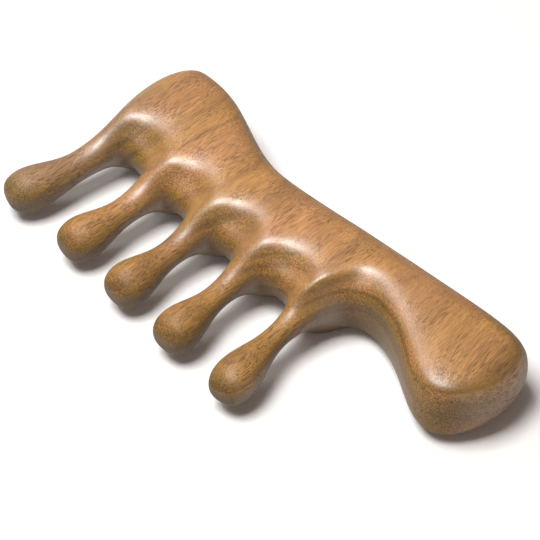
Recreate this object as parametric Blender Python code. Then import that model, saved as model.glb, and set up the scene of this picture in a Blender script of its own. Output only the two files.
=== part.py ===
"""A wide-tooth scalp comb, carved and sanded out of one thick board of hardwood.

The comb lies on its face: +Z is up through the board's thickness, +X runs along the back towards
the butt of the handle, and the teeth point along -Y. The origin is under the middle of the
comb's bounding box, on the surface that it lies on. All lengths are in metres.

While the shape is laid out, X = 0 is the middle of the first tooth, Y = 0 is the straight part
of the back, and Z = 0 is half way through the board. Columns cross the body from the back edge to
the edge that the teeth grow from: three to a tooth, one in the middle of each gap and four in the
handle. Five rows run along it. The sheet of cells between them, with the teeth added, is given
its thickness and smoothed into one rounded surface. The flat that the comb lies on is pressed
into it last.
"""

import math

import bmesh
import bpy
from mathutils import Vector

# The board
THICKNESS = 0.0229
CROWN = 0.0005  # how far the lower face stood proud before it was sanded flat
EDGE_THICKNESS = 0.0180  # at the outline, before smoothing rounds it over

# The head and the back
HEAD_RISE = 0.0148  # the top of the head stands this far above the straight back
HEAD_TOP_PLACE = 0.0055
HEAD_SLOPE_LENGTH = 0.0445  # the back falls from the head to the dip in this length
DIP_DEPTH = 0.0004
DIP_LENGTH = 0.0380
DIP_LEAD_SHARE = 0.25  # this much of the dip lies under the foot of the slope
HEAD_OVERHANG = 0.0020  # the head's corner lies this far beyond the middle of the first tooth
HEAD_CORNER_DROP = 0.0096
HEAD_END_BOW = 0.0036
HEAD_END_ROOT = 0.0036  # from the middle of the first tooth to its outer side
BACK_BAND = 0.0090  # from the back edge to the line where the comb has its full thickness

# The row of teeth
ROW_LENGTH = 0.0822  # from the middle of the first tooth to the middle of the last
TOOTH_PLACE_SHARES = (0.0, 0.260, 0.507, 0.748, 1.0)
TIP_PLACE_SHARES = (-0.092, 0.221, 0.487, 0.754, 1.043)
FIRST_TIP_DEPTH = 0.0530  # below the straight back
LAST_TIP_DEPTH = 0.0641  # the tips in between take even steps
ROOT_WIDTH = 0.0092
ROOT_DEPTH = 0.0299  # below the straight back, where the last teeth start
ROW_RISE = 0.0105  # how much higher the first tooth starts
OUTER_ROOT_DEPTH = 0.0226  # on the handle's side of the last tooth
OUTER_ROOT_WIDTH = 0.0060  # from the middle of the last tooth to its outer side

# One tooth
FIRST_NECK_DIAMETER = 0.0078
LAST_NECK_DIAMETER = 0.0058  # the necks in between take even steps
NECK_FLARE = 0.0006  # how much thicker a neck is half way to its root
BULB_DIAMETER = 0.0150
TIP_DIAMETER = 0.0085
STATION_SHARES = (0.22, 0.48, 0.80, 1.0)  # flare, neck, bulb and tip on the way down the tooth
BULB_CLEARANCE = 0.0003  # the bulbs hang almost down to what the comb lies on
BULB_SAG = THICKNESS / 2 - CROWN - BULB_DIAMETER / 2 - BULB_CLEARANCE

# The scoops round the gaps, and the ridges between them that run down into the teeth
SCOOP_THICKNESS = 0.0115  # half way down a scoop, in the middle of a gap
FLANK_THICKNESS = 0.0135  # half way down a scoop, on the side of a tooth
GAP_EDGE_THICKNESS = 0.0080
GAP_ARCH_RISE = 0.0005
FLANK_EDGE_THICKNESS = 0.0085
RIDGE_THICKNESS = 0.0215
RIDGE_FOOT_THICKNESS = 0.0160
GAP_RIM = 0.0086  # from the edge up to the rim of a scoop
GAP_BOWL = 0.0050  # from the edge up to the half of a scoop
FLANK_RIM = 0.0080
FLANK_BOWL = 0.0044
RIDGE_RIM = 0.0050
RIDGE_BOWL = 0.0008
RIDGE_FOOT = -0.0028  # a ridge goes on down below the edge
SCOOP_LEAN = 0.0030  # the rims lie this much nearer the butt than the gaps
OUTER_THICKNESS = 0.0145  # half way down the scoop, on the handle's side of the last tooth
OUTER_EDGE_THICKNESS = 0.0090

# The handle
HANDLE_LENGTH = 0.0494  # from the last tooth to the end of the butt
GRIP_WIDTH = 0.0178
BUTT_WIDTH = 0.0385
BUTT_CORNER_DROP = 0.0022
BUTT_END_BOW = 0.0035
HANDLE_SCOOP_THICKNESS = 0.0200  # just inside the edge that the fingers go round
HANDLE_EDGE_THICKNESS = 0.0150
HANDLE_RIM_SHARE = 0.32
HANDLE_BOWL_SHARE = 0.14
HANDLE_PLACE_SHARES = (0.16, 0.47, 0.80, 1.0)
HANDLE_SWELL_SHARES = (0.0, 0.34, 1.0, 0.48)  # from the grip's width to the butt's

# The rows, from the back edge to the edge that the teeth grow from
LEAN_SHARES = (0.0, 0.4, 1.0, 0.6, 0.0)
HEAD_END_BOW_SHARES = (0.0, 1.0, 0.45, 0.2, 0.0)
BUTT_END_BOW_SHARES = (0.0, 1.0, 1.0, 0.4, -0.2)

GAP_SIDE = [EDGE_THICKNESS, THICKNESS, THICKNESS, SCOOP_THICKNESS, GAP_EDGE_THICKNESS]
FLANK_SIDE = [EDGE_THICKNESS, THICKNESS, THICKNESS, FLANK_THICKNESS, FLANK_EDGE_THICKNESS]
OUTER_SIDE = [EDGE_THICKNESS, THICKNESS, THICKNESS, OUTER_THICKNESS, OUTER_EDGE_THICKNESS]
RIDGE_SIDE = [EDGE_THICKNESS, THICKNESS, THICKNESS, RIDGE_THICKNESS, RIDGE_FOOT_THICKNESS]
HANDLE_SIDE = [EDGE_THICKNESS, THICKNESS, THICKNESS, HANDLE_SCOOP_THICKNESS, HANDLE_EDGE_THICKNESS]

# How far the last three rows are from the edge on each kind of column, and how thick the comb is
# in all five. In the handle the rows' places depend on the width instead.
ROWS = {
    "gap": ((GAP_RIM, GAP_BOWL, 0), GAP_SIDE),
    "flank": ((FLANK_RIM, FLANK_BOWL, 0), FLANK_SIDE),
    "outer flank": ((FLANK_RIM, FLANK_BOWL, 0), OUTER_SIDE),
    "ridge": ((RIDGE_RIM, RIDGE_BOWL, RIDGE_FOOT), RIDGE_SIDE),
    "handle": (None, HANDLE_SIDE),
}

# Smoothing draws a hexagon in to a circle of five sixths of its radius
HEXAGON_SHARE = 6 / 5

SAG_LAYER = "sag"


def mix(start, end, share):
    return start + (end - start) * share


def back_place(x):
    """A point of the back edge."""
    slope_end = HEAD_TOP_PLACE + HEAD_SLOPE_LENGTH
    fall = min(max((x - HEAD_TOP_PLACE) / HEAD_SLOPE_LENGTH, 0), 1)
    dip = min(max((x - slope_end) / DIP_LENGTH + DIP_LEAD_SHARE, 0), 1)
    rise = HEAD_RISE * (1 + math.cos(math.pi * fall)) / 2
    return Vector((x, rise - DIP_DEPTH * math.sin(math.pi * dip)))


def root_place(x):
    """A point of the line that the teeth grow from."""
    return Vector((x, ROW_RISE * (1 - x / ROW_LENGTH) ** 2 - ROOT_DEPTH))


def tooth_columns(middle):
    """[kind, back point, root point, lean] of a tooth's left flank, ridge and right flank."""
    columns = []
    for kind, side in (("flank", -1), ("ridge", 0), ("flank", 1)):
        x = middle + side * ROOT_WIDTH / 2
        columns.append([kind, back_place(x), root_place(x), SCOOP_LEAN])
    return columns


def gap_column(x):
    return ["gap", back_place(x), root_place(x) + Vector((0, GAP_ARCH_RISE)), SCOOP_LEAN]


def handle_columns(start):
    columns = []
    for place, swell in zip(HANDLE_PLACE_SHARES, HANDLE_SWELL_SHARES):
        x = start + HANDLE_LENGTH * place
        edge = -mix(GRIP_WIDTH, BUTT_WIDTH, swell)
        columns.append(["handle", Vector((x, 0)), Vector((x, edge)), 0])
    columns[-1][1].y = -BUTT_CORNER_DROP
    return columns


def all_columns():
    """The columns from the head to the butt."""
    middles = [ROW_LENGTH * share for share in TOOTH_PLACE_SHARES]
    columns = tooth_columns(middles[0])
    columns[0][1] = Vector((-HEAD_OVERHANG, HEAD_RISE - HEAD_CORNER_DROP))
    columns[0][2] = root_place(-HEAD_END_ROOT)
    for last, middle in zip(middles, middles[1:]):
        columns.append(gap_column((last + middle) / 2))
        columns += tooth_columns(middle)
    x = middles[-1] + OUTER_ROOT_WIDTH
    columns[-1] = ["outer flank", back_place(x), Vector((x, -OUTER_ROOT_DEPTH)), 0]
    return columns + handle_columns(columns[-1][1].x)


def row_shares(kind, length):
    """How far down a column of some length each row crosses it."""
    distances = ROWS[kind][0] or (length * HANDLE_RIM_SHARE, length * HANDLE_BOWL_SHARE, 0)
    rim, bowl, foot = [1 - distance / length for distance in distances]
    return (0, BACK_BAND / length, rim, bowl, foot)


def column_points(kind, back, root, lean, outward):
    """A column's points, one to a row, each at half the comb's thickness there. Outward is -1 on
    the head's end, 1 on the butt's end and 0 in between."""
    shift, shift_shares = lean, LEAN_SHARES
    if outward < 0:
        shift, shift_shares = -HEAD_END_BOW, HEAD_END_BOW_SHARES
    elif outward > 0:
        shift, shift_shares = BUTT_END_BOW, BUTT_END_BOW_SHARES
    points = []
    for share, thickness, shift_share in zip(
        row_shares(kind, (root - back).length), ROWS[kind][1], shift_shares
    ):
        place = mix(back, root, share)
        if outward:
            thickness = min(thickness, EDGE_THICKNESS)
        points.append((place.x + shift * shift_share, place.y, thickness / 2))
    return points


def tooth_stations(number, start):
    """(middle, radius, sag) of each cross-section of a tooth below its start, root to tip. The
    places across go by the square of the share, so the teeth curve away from the body. The sag is
    how far the middle lies below the middle of the board, and reaches its full size at the bulb."""
    share = TOOTH_PLACE_SHARES[number]
    depth = mix(FIRST_TIP_DEPTH, LAST_TIP_DEPTH, share)
    tip = Vector((ROW_LENGTH * TIP_PLACE_SHARES[number], -depth))
    neck = mix(FIRST_NECK_DIAMETER, LAST_NECK_DIAMETER, share)
    stations = []
    for place, diameter in zip(STATION_SHARES, (neck + NECK_FLARE, neck, BULB_DIAMETER, TIP_DIAMETER)):
        middle = Vector((mix(start.x, tip.x, place**2), mix(start.y, tip.y, place)))
        sag = BULB_SAG * min(place / STATION_SHARES[2], 1)
        stations.append((middle, diameter / 2, sag))
    return stations


def add_cells(sheet, old_row, new_row):
    for near, far, next_far, next_near in zip(old_row, new_row, new_row[1:], old_row[1:]):
        sheet.faces.new((near, far, next_far, next_near))


def add_tooth(sheet, number, root_row):
    """Half a tooth under three points of the body: the upper points of one hexagon after another.
    Each notes its sag, because a tooth's halves only match while the tooth is level."""
    sags = sheet.verts.layers.float[SAG_LAYER]
    left, ridge, right = [vertex.co for vertex in root_row]
    last_middle = Vector((ridge.x, (left.y + right.y) / 2))
    last_row = root_row
    for middle, radius, sag in tooth_stations(number, last_middle):
        along = (middle - last_middle).normalized()
        across = Vector((-along.y, along.x))
        row = []
        for angle in (150, 90, 30):
            reach = across * radius * HEXAGON_SHARE * math.cos(math.radians(angle))
            height = radius * HEXAGON_SHARE * math.sin(math.radians(angle))
            row.append(sheet.verts.new((*(middle + reach), height)))
            row[-1][sags] = sag
        add_cells(sheet, last_row, row)
        last_middle, last_row = middle, row


def comb_sheet():
    """The upper sheet of cells."""
    sheet = bmesh.new()
    sheet.verts.layers.float.new(SAG_LAYER)
    columns = all_columns()
    grid = []
    for number, column in enumerate(columns):
        outward = 0
        if number == 0:
            outward = -1
        elif number == len(columns) - 1:
            outward = 1
        grid.append([sheet.verts.new(point) for point in column_points(*column, outward)])
    for left, right in zip(grid, grid[1:]):
        add_cells(sheet, right, left)
    ridges = [number for number, column in enumerate(columns) if column[0] == "ridge"]
    for tooth, ridge in enumerate(ridges):
        add_tooth(sheet, tooth, [points[-1] for points in grid[ridge - 1:ridge + 2]])
    return sheet


def comb_cage():
    """The sheet, a copy of it turned over, and the wall between them round the outline. The teeth
    are let down by their sag at the end."""
    cage = comb_sheet()
    under = bmesh.ops.extrude_face_region(cage, geom=cage.faces[:], use_keep_orig=True)
    for vertex in under["geom"]:
        if isinstance(vertex, bmesh.types.BMVert):
            vertex.co.z = -vertex.co.z
    sags = cage.verts.layers.float[SAG_LAYER]
    for vertex in cage.verts:
        vertex.co.z -= vertex[sags]
    bmesh.ops.recalc_face_normals(cage, faces=cage.faces)
    return cage


def smoothed(cage, levels):
    """The cage as an object whose mesh has been rounded by subdivision."""
    mesh = bpy.data.meshes.new("comb_cage")
    cage.to_mesh(mesh)
    cage.free()
    comb = bpy.data.objects.new("comb", mesh)
    bpy.context.scene.collection.objects.link(comb)
    rounding = comb.modifiers.new("rounding", "SUBSURF")
    rounding.levels = levels
    rounding.render_levels = levels
    graph = bpy.context.evaluated_depsgraph_get()
    comb.data = bpy.data.meshes.new_from_object(comb.evaluated_get(graph))
    comb.modifiers.clear()
    bpy.data.meshes.remove(mesh)
    return comb


def sand_flat(comb):
    """Presses the lower face flat, and moves the comb so that it lies on it over the origin."""
    rest = -THICKNESS / 2 + CROWN
    points = comb.data.vertices
    low = Vector((min(p.co.x for p in points), min(p.co.y for p in points)))
    high = Vector((max(p.co.x for p in points), max(p.co.y for p in points)))
    middle = (low + high) / 2
    for p in points:
        p.co.z = max(p.co.z, rest) - rest
        p.co.x -= middle.x
        p.co.y -= middle.y


def wood():
    material = bpy.data.materials.new("sandalwood")
    material.use_nodes = True
    shader = material.node_tree.nodes["Principled BSDF"]
    shader.inputs["Base Color"].default_value = (0.49, 0.25, 0.10, 1)
    shader.inputs["Roughness"].default_value = 0.4
    shader.inputs["Metallic"].default_value = 0
    return material


def main():
    for leftover in list(bpy.data.objects):
        bpy.data.objects.remove(leftover)
    comb = smoothed(comb_cage(), levels=2)
    sand_flat(comb)
    comb.data.shade_smooth()
    comb.data.materials.append(wood())


if __name__ == "__main__":
    main()
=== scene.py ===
"""The looks of a wide-tooth scalp comb: one piece of hardwood, carved, sanded and waxed.

The comb lies flat. +Z is up, +X runs along the back towards the butt of the handle, and the teeth
point along -Y, which is also the way that the grain runs. All lengths are in metres.
"""

import math

import bmesh
import bpy
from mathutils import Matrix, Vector


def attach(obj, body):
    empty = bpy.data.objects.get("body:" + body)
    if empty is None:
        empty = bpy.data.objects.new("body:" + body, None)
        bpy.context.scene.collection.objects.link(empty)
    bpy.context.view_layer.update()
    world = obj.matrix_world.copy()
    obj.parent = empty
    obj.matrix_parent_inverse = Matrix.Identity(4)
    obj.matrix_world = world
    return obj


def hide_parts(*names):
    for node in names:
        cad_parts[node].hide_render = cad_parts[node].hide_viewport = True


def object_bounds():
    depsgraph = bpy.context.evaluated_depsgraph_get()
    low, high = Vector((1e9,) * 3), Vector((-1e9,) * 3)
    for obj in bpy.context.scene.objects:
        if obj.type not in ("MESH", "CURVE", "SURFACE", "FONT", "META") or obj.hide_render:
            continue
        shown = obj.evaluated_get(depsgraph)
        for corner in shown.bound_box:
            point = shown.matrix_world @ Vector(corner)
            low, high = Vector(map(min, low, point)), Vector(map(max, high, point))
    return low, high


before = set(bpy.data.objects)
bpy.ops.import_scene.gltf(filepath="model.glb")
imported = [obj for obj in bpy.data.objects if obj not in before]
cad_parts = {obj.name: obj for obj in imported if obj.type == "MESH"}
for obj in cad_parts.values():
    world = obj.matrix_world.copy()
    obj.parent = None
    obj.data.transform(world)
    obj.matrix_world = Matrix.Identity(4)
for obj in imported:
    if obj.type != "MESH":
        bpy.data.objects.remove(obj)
CAD_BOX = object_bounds()

# The ends of the comb
HEAD_END = CAD_BOX[0][0]
BUTT_END = CAD_BOX[1][0]
TOOTH_TIPS = CAD_BOX[0][1]

# The camera, which looks at the middle of the comb
CAMERA_AZIMUTH = 44.4  # degrees: 0 looks along +Y and 90 along -X
CAMERA_ELEVATION = 45.0
CAMERA_DISTANCE = 0.7
CAMERA_CLIP_START = 0.007
CAMERA_TARGET = Vector((0.0012, 0.0, 0.0110))
SENSOR_WIDTH = 36.0  # millimetres, as is the focal length
FOCAL_LENGTH = 177.7

# The light. Lamps: azimuth and elevation in degrees by the camera's rule, width, height, power.
LAMP_DISTANCE = 0.8
KEY_LAMP = (-24.0, 72.0, 0.38, 0.38, 7.2)
SIDE_LAMP = (-90.0, 46.0, 0.34, 0.26, 0.9)
LAMP_COLOUR = (1.0, 0.985, 0.97)
SKY_COLOUR = (1.0, 0.77, 0.69, 1)
SKY_STRENGTH = 0.115
WHITE = (1, 1, 1, 1)  # what the camera sees of the sky
FLOOR_SIZE = 6.0
FLOOR_COLOUR = (0.55, 0.55, 0.55, 1)
SEEN_FLOOR_COLOUR = (0.97, 0.97, 0.97, 1)  # the same floor where the camera sees it
FLOOR_GLOW = 0.03  # what the camera sees added, so that the open floor is white

# The comb's surface, with the widest angles, in degrees, at which triangles pair up into cells
MERGE_DISTANCE = 1e-6
PAIR_FACE_ANGLE = 40.0
PAIR_SHAPE_ANGLE = 60.0
ROUNDING_LEVELS = 2

# Stretches of the comb, each given by the two distances from an end between which it sets in
BODY = (0.015, 0.041)  # from the tips of the teeth
OUTER_WOOD_STRETCH = (0.022, 0.0)  # from the head's end, where the wood is greyer
GRIP = (0.058, 0.042)  # the rest from the end of the butt
BUTT = (0.046, 0.014)
PALM = (0.034, 0.020)  # where the palm rubs some of the wax off
RIM = (0.022, 0.010)  # where other rings come to the surface
RIM_RAGGED = 0.25

# How the wood grew. The rings are tubes round the heart of the tree, which runs along the grain.
HEART = Vector((0.045, 0.0, -0.075))
BAND_WIDTH = 0.0085
RING_WIDTH = 0.0026
RING_WAVES = (0.0120, 0.0040)  # their height, in the body and in the grip
GRAIN_WANDER = 0.0012
GRAIN_WANDER_SIZE = 0.035
BUTT_LEAN = 0.15  # how far the grain leans in the butt, as a slope

# Sizes in the wood, across the grain and along it
RING_WAVE_SIZE = (0.032, 0.0448)
FIBRE_SIZE = (0.00018, 0.0060)
STREAK_SIZE = (0.0009, 0.0120)
PATCH_SIZE = (0.0110, 0.0260)
PORE_CELL = (0.00025, 0.0054)
PORE_PATCH_SIZE = (0.0055, 0.0100)
HOLE_SIZE = (0.00040, 0.0016)
FLECK_SIZE = (0.00036, 0.0012)
FLECK_PATCH_SIZE = (0.0100, 0.0200)

# Which way a face looks: how much of its normal lies along the grain, or points up
ACROSS_GRAIN = (0.10, 0.74)
SLOPING = (0.95, 0.40)
# where steep faces turn grey with painted shade and a painted reflection of the floor
STEEP = (0.42, -0.05)
OLIVE_FROM = (0.99, 0.90)  # on the rim, an olive ring above a band of open wood
OLIVE_TO = (0.45, 0.65)
OPEN_FROM = (0.65, 0.45)

# Levels of the noise between which a feature sets in
YELLOW_BANDS = (0.36, 0.64)
LATE_RINGS = (0.46, 0.70)
LINE_FROM = (0.60, 0.63)
LINE_TO = (0.68, 0.65)
OLIVE_PATCHES = (0.38, 0.60)
HOLES = (0.57, 0.64)

# How much of a feature shows
LATE_SHARES = (0.38, 0.85)  # on level faces and on sides
LINE_SHARE = 0.45
RIM_SHARE = 0.85
HOLE_SHARE = 0.60
PORE_SHARE = 0.80
# How much steep faces are greyed by painted shade and a painted floor reflection: more on the teeth,
# less on the rim's open wood
PAINTED_SHADE_SHARE = 0.45
PAINTED_SHADE_TOOTH_SHARE = 0.25  # added on the teeth
PAINTED_SHADE_OPEN_SHARES = (1.0, 0.2)  # off the open wood of the rim and on it
OUTER_WOOD_SHARES = (0.36, 0.62, 0.25, 0.90)  # two levels of the noise, and the share at each

# Tones: two levels of the noise, and how light the wood is at each
PATCH_TONES = (0.30, 0.70, 1.06, 0.90)
STREAK_TONES = (0.30, 0.70, 0.92, 1.08)
FIBRE_TONES = (0.37, 0.63, 0.76, 1.21)
FLECK_TONES = (0.35, 0.65, 0.58, 1.34)
# the grey of the painted shade and floor reflection varies with the fibres
PAINTED_SHADE_TONES = (0.28, 0.72, 0.80, 1.20)

# Pores. They are wider where the wood is crowded with them, and some places are more crowded.
PORE_REACH = (0.34, 0.58, 0.12, 0.42)  # two levels of the crowd, and how much of its cell a pore fills
PORE_EDGE = (0.0, 0.45)
PORE_FADE = (0.50, 0.12, 0.25, 1.0)  # fainter on faces across the grain
OUTER_WOOD_CROWD = 0.10
OPEN_WOOD_CROWD = 0.15
TOOTH_CROWD = 0.15
GRIP_CROWD = -0.05

# Colours of the wood
ORANGE_WOOD = (0.552, 0.268, 0.104, 1)
YELLOW_WOOD = (0.538, 0.273, 0.088, 1)
LATE_WOOD = (0.360, 0.172, 0.072, 1)
OUTER_WOOD = (0.340, 0.228, 0.138, 1)
OLIVE_RING = (0.340, 0.178, 0.052, 1)
OPEN_RING = (0.700, 0.362, 0.200, 1)
# Painted shade and painted reflection of the pale floor, which greys steep faces
PAINTED_SHADE_AND_REFLECTION = (0.255, 0.195, 0.150, 1)
PORE_COLOUR = (0.105, 0.048, 0.022, 1)
TOOTH_TINT = (0.80, 0.84, 0.74, 1)
# Painted shade: sloping faces are tinted greener and darker
PAINTED_SHADE_TINT = (0.88, 0.98, 0.84, 1)
OLIVE_TINT = (0.62, 0.63, 0.42, 1)
BROWN_TINT = (0.74, 0.67, 0.52, 1)

# The wax, which faces across the grain soak up and which has worn off the teeth
WAX_SOAKED = (0.85, 0.35)
PORE_WAX = 0.4
PALM_WAX = 0.65
WAX_ROUGHNESS = 0.37
WAX_IOR = 1.85

# The wood under it, and the fine relief of its grain
FIBRE_ROUGHNESS = (0.30, 0.70, 0.36, 0.44)  # two levels of the noise, and the roughness at each
ROUGH_ACROSS = (0.28, 0.80)
ACROSS_ROUGHNESS = 0.22
PORE_ROUGHNESS = 0.25
TOOTH_ROUGHNESS = 0.12
WOOD_IOR = 1.5
SHEEN = 0.18
SHEEN_ROUGHNESS = 0.30
PORE_HEIGHT = -1.0
FLECK_HEIGHT = 0.5
RELIEF = 0.00008
RELIEF_STRENGTH = 0.5


def direction_from(azimuth, elevation):
    """The direction from the comb to what stands at an azimuth and elevation, given in degrees."""
    turn = math.radians(azimuth)
    rise = math.radians(elevation)
    return Vector((math.sin(turn) * math.cos(rise), -math.cos(turn) * math.cos(rise), math.sin(rise)))


def place(thing, name, distance, azimuth, elevation):
    """Puts a camera or a lamp in the scene, looking at the middle of the comb."""
    holder = bpy.data.objects.new(name, thing)
    bpy.context.scene.collection.objects.link(holder)
    holder.location = CAMERA_TARGET + distance * direction_from(azimuth, elevation)
    holder.rotation_euler = (CAMERA_TARGET - holder.location).to_track_quat("-Z", "Y").to_euler()
    return holder


def add_camera():
    lens = bpy.data.cameras.new("camera")
    lens.sensor_width = SENSOR_WIDTH
    lens.lens = FOCAL_LENGTH
    lens.clip_start = CAMERA_CLIP_START
    camera = place(lens, "camera", CAMERA_DISTANCE, CAMERA_AZIMUTH, CAMERA_ELEVATION)
    bpy.context.scene.camera = camera


def add_lamp(name, azimuth, elevation, width, height, power):
    lamp = bpy.data.lights.new(name, "AREA")
    lamp.shape = "RECTANGLE"
    lamp.size = width
    lamp.size_y = height
    lamp.energy = power
    lamp.color = LAMP_COLOUR
    place(lamp, name, LAMP_DISTANCE, azimuth, elevation)


class Shading:
    """Builds a tree of shader nodes. A value given to a node is a number, a colour or an output."""

    def __init__(self, tree):
        self.tree = tree
        tree.nodes.clear()

    def add(self, kind, inputs=None, **settings):
        """A node with its settings and inputs. An input is named, or numbered in order."""
        node = self.tree.nodes.new(kind)
        for name, value in settings.items():
            setattr(node, name, value)
        for name, value in (inputs or {}).items():
            self.give(node.inputs[name], value)
        return node

    def give(self, socket, value):
        """Gives an input its value, or links it to an output."""
        if isinstance(value, bpy.types.NodeSocket):
            self.tree.links.new(value, socket)
        else:
            socket.default_value = value

    def math(self, operation, *values, clamp=False):
        node = self.add("ShaderNodeMath", dict(enumerate(values)), operation=operation, use_clamp=clamp)
        return node.outputs[0]

    def product(self, value, *others):
        for other in others:
            value = self.math("MULTIPLY", value, other)
        return value

    def raised(self, value, *additions):
        """A value with more added to it. Each addition is a mask, and what it adds where it is 1."""
        for mask, amount in additions:
            value = self.math("MULTIPLY_ADD", mask, amount, value)
        return value

    def vector(self, operation, *values):
        node = self.add("ShaderNodeVectorMath", dict(enumerate(values)), operation=operation)
        return node.outputs[0]

    def parts(self, vector):
        """The X, Y and Z of a vector."""
        return self.add("ShaderNodeSeparateXYZ", {0: vector}).outputs

    def step(self, value, start, end, low=0.0, high=1.0):
        """A value that goes smoothly from low at start to high at end."""
        inputs = {"Value": value, "From Min": start, "From Max": end, "To Min": low, "To Max": high}
        node = self.add("ShaderNodeMapRange", inputs, interpolation_type="SMOOTHSTEP")
        return node.outputs["Result"]

    def fade(self, mask, low, high):
        """A value that goes smoothly from low where a mask is 0 to high where it is 1."""
        return self.step(mask, 0.0, 1.0, low, high)

    def mix(self, share, start, end, blend="MIX"):
        node = self.add("ShaderNodeMix", data_type="RGBA", blend_type=blend)
        for name, value in (("Factor_Float", share), ("A_Color", start), ("B_Color", end)):
            self.give(next(s for s in node.inputs if s.identifier == name), value)
        return next(s for s in node.outputs if s.identifier == "Result_Color")

    def tint(self, share, colour, tint):
        """A colour multiplied by another where the share is 1."""
        return self.mix(share, colour, tint, "MULTIPLY")

    def shade(self, colour, tone):
        """A colour made lighter or darker by a number."""
        grey = self.add("ShaderNodeCombineColor", {0: tone, 1: tone, 2: tone}).outputs[0]
        return self.tint(1.0, colour, grey)

    def noise(self, point, detail=1.0, roughness=0.5):
        """Noise around a half, with features about one unit wide."""
        inputs = {"Vector": point, "Scale": 1.0, "Detail": detail, "Roughness": roughness}
        return self.add("ShaderNodeTexNoise", inputs).outputs["Fac"]

    def line_noise(self, way, detail=1.0):
        """The same along one line, by how far along it a point lies."""
        inputs = {"W": way, "Scale": 1.0, "Detail": detail}
        return self.add("ShaderNodeTexNoise", inputs, noise_dimensions="1D").outputs["Fac"]

    def camera_sees(self):
        """1 for the rays that the camera sends out, and 0 for those of the lighting."""
        return self.add("ShaderNodeLightPath").outputs["Is Camera Ray"]


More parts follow.
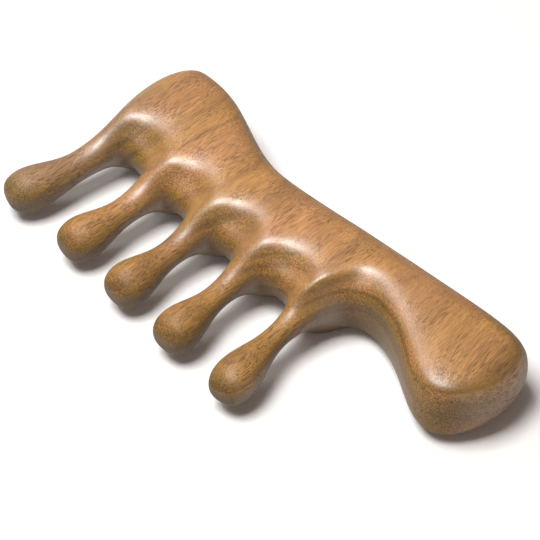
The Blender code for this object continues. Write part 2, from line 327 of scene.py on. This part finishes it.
class Wood(Shading):
    """Hardwood with a wax finish. Its rings, fibres and pores are solid, so they show as long lines on
    faces along the grain and as dots on faces across it. Which way a face looks decides how dark it is,
    where painted shade and a painted reflection of the floor grey it, and what shows on the rim of the
    butt."""

    def __init__(self, tree):
        super().__init__(tree)
        self.grain = self.grain_point()
        self.fibres = self.stretched(FIBRE_SIZE, detail=3.0, roughness=0.6)
        self.streaks = self.stretched(STREAK_SIZE, detail=2.0)
        self.patches = self.stretched(PATCH_SIZE)
        self.flecks = self.stretched(FLECK_SIZE, detail=2.0, roughness=0.7)
        self.find_faces()
        self.find_stretches()
        self.find_rim()
        self.find_rings()
        self.find_pores()

    def grain_point(self):
        """A point of the comb in the wood's own directions: across the grain, along it and through
        the board. The fibres wander a little, and lean over in the butt."""
        point = self.add("ShaderNodeTexCoord").outputs["Object"]
        spread = self.vector("MULTIPLY", point, (1 / GRAIN_WANDER_SIZE,) * 3)
        wander = self.add("ShaderNodeTexNoise", {"Vector": spread, "Scale": 1.0, "Detail": 1.0})
        centred = self.vector("SUBTRACT", wander.outputs["Color"], (0.5, 0.5, 0.5))
        moved = self.vector("MULTIPLY", centred, (GRAIN_WANDER, 0, GRAIN_WANDER))
        spot = self.parts(point)
        from_butt = self.math("SUBTRACT", BUTT_END, spot["X"])
        shift = self.product(self.step(from_butt, *BUTT, 0.0, BUTT_LEAN), spot["Y"])
        leaning = self.add("ShaderNodeCombineXYZ", {"X": shift}).outputs[0]
        return self.vector("ADD", self.vector("ADD", point, moved), leaning)

    def spread_grain(self, size):
        """The grain's point, scaled so that one unit is a size across the grain and one along it."""
        across, along = size
        return self.vector("MULTIPLY", self.grain, (1 / across, 1 / along, 1 / across))

    def stretched(self, size, **detail):
        return self.noise(self.spread_grain(size), **detail)

    def find_faces(self):
        """Which way the surface looks: up or to the side, and along the grain or across it."""
        normal = self.parts(self.add("ShaderNodeNewGeometry").outputs["Normal"])
        self.upward = normal["Z"]
        self.turned = self.math("ABSOLUTE", normal["Y"])
        self.across = self.step(self.turned, *ACROSS_GRAIN)
        self.side = self.step(self.upward, *SLOPING)

    def find_stretches(self):
        """The stretches of the comb as masks, and the wax that the palm leaves."""
        spot = self.parts(self.grain)
        from_tips = self.math("SUBTRACT", spot["Y"], TOOTH_TIPS)
        from_head = self.math("SUBTRACT", spot["X"], HEAD_END)
        from_butt = self.math("SUBTRACT", BUTT_END, spot["X"])
        self.outer = self.step(from_head, *OUTER_WOOD_STRETCH)
        self.grip = self.step(from_butt, *GRIP)
        self.rim = self.step(from_butt, *RIM)
        self.palm_wax = self.step(from_butt, *PALM, 1.0, PALM_WAX)
        self.handled = self.math("MAXIMUM", self.step(from_tips, *BODY), self.grip)
        self.tooth = self.math("SUBTRACT", 1.0, self.handled)

    def find_rim(self):
        """The bands of the butt's rim: an olive ring round the top, and open wood below it."""
        ragged = self.math("SUBTRACT", self.streaks, 0.5)
        level = self.raised(self.upward, (ragged, RIM_RAGGED))
        self.olive = self.product(self.rim, self.step(level, *OLIVE_FROM), self.step(level, *OLIVE_TO))
        self.opened = self.product(self.rim, self.step(level, *OPEN_FROM))

    def find_rings(self):
        """The growth rings: noise by the distance from the heart of the tree, with waves in it."""
        wave = self.math("SUBTRACT", self.stretched(RING_WAVE_SIZE, detail=2.0), 0.5)
        from_heart = self.vector("MULTIPLY", self.vector("SUBTRACT", self.grain, HEART), (1, 0, 1))
        length = self.add("ShaderNodeVectorMath", {0: from_heart}, operation="LENGTH")
        radius = self.raised(length.outputs["Value"], (wave, self.fade(self.grip, *RING_WAVES)))
        self.bands = self.line_noise(self.math("DIVIDE", radius, BAND_WIDTH))
        self.rings = self.line_noise(self.math("DIVIDE", radius, RING_WIDTH), detail=2.0)

    def find_pores(self):
        """Pores: long narrow cells, more of them in some patches and stretches."""
        crowd = self.raised(
            self.stretched(PORE_PATCH_SIZE, detail=2.0),
            (self.outer, OUTER_WOOD_CROWD),
            (self.opened, OPEN_WOOD_CROWD),
            (self.tooth, TOOTH_CROWD),
            (self.grip, GRIP_CROWD),
        )
        pore = self.add("ShaderNodeTexVoronoi", {"Vector": self.spread_grain(PORE_CELL), "Scale": 1.0})
        way_out = self.math("DIVIDE", pore.outputs["Distance"], self.step(crowd, *PORE_REACH))
        depth = self.math("SUBTRACT", 1.0, way_out, clamp=True)
        self.pores = self.product(self.step(depth, *PORE_EDGE), self.step(self.turned, *PORE_FADE))

    def ringed(self):
        """Bands of orange and yellow, rings of late wood, the bands of the rim and thin dark lines."""
        colour = self.mix(self.step(self.bands, *YELLOW_BANDS), ORANGE_WOOD, YELLOW_WOOD)
        late = self.product(self.step(self.rings, *LATE_RINGS), self.fade(self.side, *LATE_SHARES))
        colour = self.mix(late, colour, LATE_WOOD)
        colour = self.mix(self.product(self.olive, RIM_SHARE), colour, OLIVE_RING)
        colour = self.mix(self.product(self.opened, RIM_SHARE), colour, OPEN_RING)
        line = self.product(self.step(self.rings, *LINE_FROM), self.step(self.rings, *LINE_TO))
        return self.mix(self.product(line, LINE_SHARE), colour, LATE_WOOD)

    def grained(self, colour):
        """The teeth's tint and the outer wood, and tones from wide patches down to single fibres."""
        colour = self.tint(self.tooth, colour, TOOTH_TINT)
        outer = self.product(self.outer, self.step(self.patches, *OUTER_WOOD_SHARES))
        colour = self.mix(outer, colour, OUTER_WOOD)
        colour = self.shade(colour, self.step(self.patches, *PATCH_TONES))
        colour = self.shade(colour, self.step(self.streaks, *STREAK_TONES))
        return self.shade(colour, self.step(self.fibres, *FIBRE_TONES))

    def soaked(self, colour):
        """Faces across the grain drink more of the finish: darker, olive or brown, and speckled."""
        olive = self.step(self.stretched(FLECK_PATCH_SIZE), *OLIVE_PATCHES)
        dark = self.tint(1.0, colour, self.mix(olive, BROWN_TINT, OLIVE_TINT))
        dark = self.shade(dark, self.step(self.flecks, *FLECK_TONES))
        colour = self.mix(self.across, colour, dark)
        holes = self.step(self.stretched(HOLE_SIZE, detail=2.0), *HOLES)
        return self.mix(self.product(holes, self.opened, self.side, HOLE_SHARE), colour, PORE_COLOUR)

    def painted_side_shade(self, colour):
        """Painted shade: sloping faces are tinted greener and darker, and steep ones are greyed. This
        stands in for shade and for a reflection of the pale floor.
        """
        # painted shade: sloping faces tinted greener and darker
        colour = self.tint(self.side, colour, PAINTED_SHADE_TINT)
        # painted shade and painted floor reflection: steep faces are greyed
        painted_grey = self.product(
            self.step(self.upward, *STEEP),
            self.math("MULTIPLY_ADD", self.tooth, PAINTED_SHADE_TOOTH_SHARE, PAINTED_SHADE_SHARE),
            self.fade(self.opened, *PAINTED_SHADE_OPEN_SHARES),
        )
        return self.mix(painted_grey, colour, self.shade(PAINTED_SHADE_AND_REFLECTION, self.step(self.fibres, *PAINTED_SHADE_TONES)))

    def colour(self):
        colour = self.painted_side_shade(self.soaked(self.grained(self.ringed())))
        return self.mix(self.product(self.pores, PORE_SHARE), colour, PORE_COLOUR)

    def wax(self):
        """How much wax is left on the surface, which fills the grain unevenly."""
        soaked = self.step(self.turned, *WAX_SOAKED)
        return self.product(soaked, self.handled, self.fade(self.pores, 1.0, PORE_WAX), self.palm_wax)

    def roughness(self):
        return self.raised(
            self.step(self.fibres, *FIBRE_ROUGHNESS),
            (self.pores, PORE_ROUGHNESS),
            (self.step(self.turned, *ROUGH_ACROSS), ACROSS_ROUGHNESS),
            (self.tooth, TOOTH_ROUGHNESS),
        )

    def relief(self):
        """The normal of the surface, with its pores sunk in and its fibres and flecks raised."""
        fleck_height = self.product(self.across, FLECK_HEIGHT)
        height = self.raised(self.fibres, (self.pores, PORE_HEIGHT), (self.flecks, fleck_height))
        inputs = {"Strength": RELIEF_STRENGTH, "Distance": RELIEF, "Height": height}
        return self.add("ShaderNodeBump", inputs).outputs[0]

    def surface(self):
        normal = self.relief()
        inputs = {
            "Base Color": self.colour(),
            "Roughness": self.roughness(),
            "IOR": WOOD_IOR,
            "Normal": normal,
            "Coat Weight": self.wax(),
            "Coat Roughness": WAX_ROUGHNESS,
            "Coat IOR": WAX_IOR,
            "Coat Normal": normal,
            "Sheen Weight": SHEEN,
            "Sheen Roughness": SHEEN_ROUGHNESS,
        }
        shader = self.add("ShaderNodeBsdfPrincipled", inputs)
        self.add("ShaderNodeOutputMaterial", {"Surface": shader.outputs[0]})


def wood():
    material = bpy.data.materials.new("waxed_sandalwood")
    material.use_nodes = True
    Wood(material.node_tree).surface()
    return material


def carved_comb():
    """The comb's surface: the frame's triangles paired up again into cells, and rounded."""
    cells = bmesh.new()
    cells.from_mesh(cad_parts["comb"].data)
    bmesh.ops.remove_doubles(cells, verts=cells.verts, dist=MERGE_DISTANCE)
    bmesh.ops.join_triangles(
        cells,
        faces=cells.faces,
        angle_face_threshold=math.radians(PAIR_FACE_ANGLE),
        angle_shape_threshold=math.radians(PAIR_SHAPE_ANGLE),
    )
    mesh = bpy.data.meshes.new("carved_comb")
    cells.to_mesh(mesh)
    cells.free()
    mesh.shade_smooth()
    mesh.materials.append(wood())
    comb = bpy.data.objects.new("carved_comb", mesh)
    bpy.context.scene.collection.objects.link(comb)
    rounding = comb.modifiers.new("rounding", "SUBSURF")
    rounding.levels = ROUNDING_LEVELS
    rounding.render_levels = ROUNDING_LEVELS
    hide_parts("comb")
    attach(comb, "root")


def add_floor():
    mesh = bpy.data.meshes.new("floor")
    half = FLOOR_SIZE / 2
    corners = [(-half, -half, 0), (half, -half, 0), (half, half, 0), (-half, half, 0)]
    mesh.from_pydata(corners, [], [(0, 1, 2, 3)])
    floor = bpy.data.objects.new("floor", mesh)
    bpy.context.scene.collection.objects.link(floor)
    material = bpy.data.materials.new("pale_floor")
    material.use_nodes = True
    shading = Shading(material.node_tree)
    seen = shading.camera_sees()
    colour = shading.mix(seen, FLOOR_COLOUR, SEEN_FLOOR_COLOUR)
    paint = shading.add("ShaderNodeBsdfDiffuse", {"Color": colour})
    glow = shading.add("ShaderNodeEmission", {"Strength": shading.math("MULTIPLY", seen, FLOOR_GLOW)})
    shader = shading.add("ShaderNodeAddShader", {0: paint.outputs[0], 1: glow.outputs[0]})
    shading.add("ShaderNodeOutputMaterial", {"Surface": shader.outputs[0]})
    mesh.materials.append(material)


def add_world():
    world = bpy.data.worlds.new("studio")
    bpy.context.scene.world = world
    world.use_nodes = True
    shading = Shading(world.node_tree)
    seen = shading.camera_sees()
    colour = shading.mix(seen, SKY_COLOUR, WHITE)
    strength = shading.fade(seen, SKY_STRENGTH, 1.0)
    background = shading.add("ShaderNodeBackground", {"Color": colour, "Strength": strength})
    shading.add("ShaderNodeOutputWorld", {"Surface": background.outputs[0]})


bpy.context.scene.view_settings.view_transform = "Standard"
add_camera()
add_lamp("key_lamp", *KEY_LAMP)
add_lamp("side_lamp", *SIDE_LAMP)
add_world()
add_floor()
carved_comb()
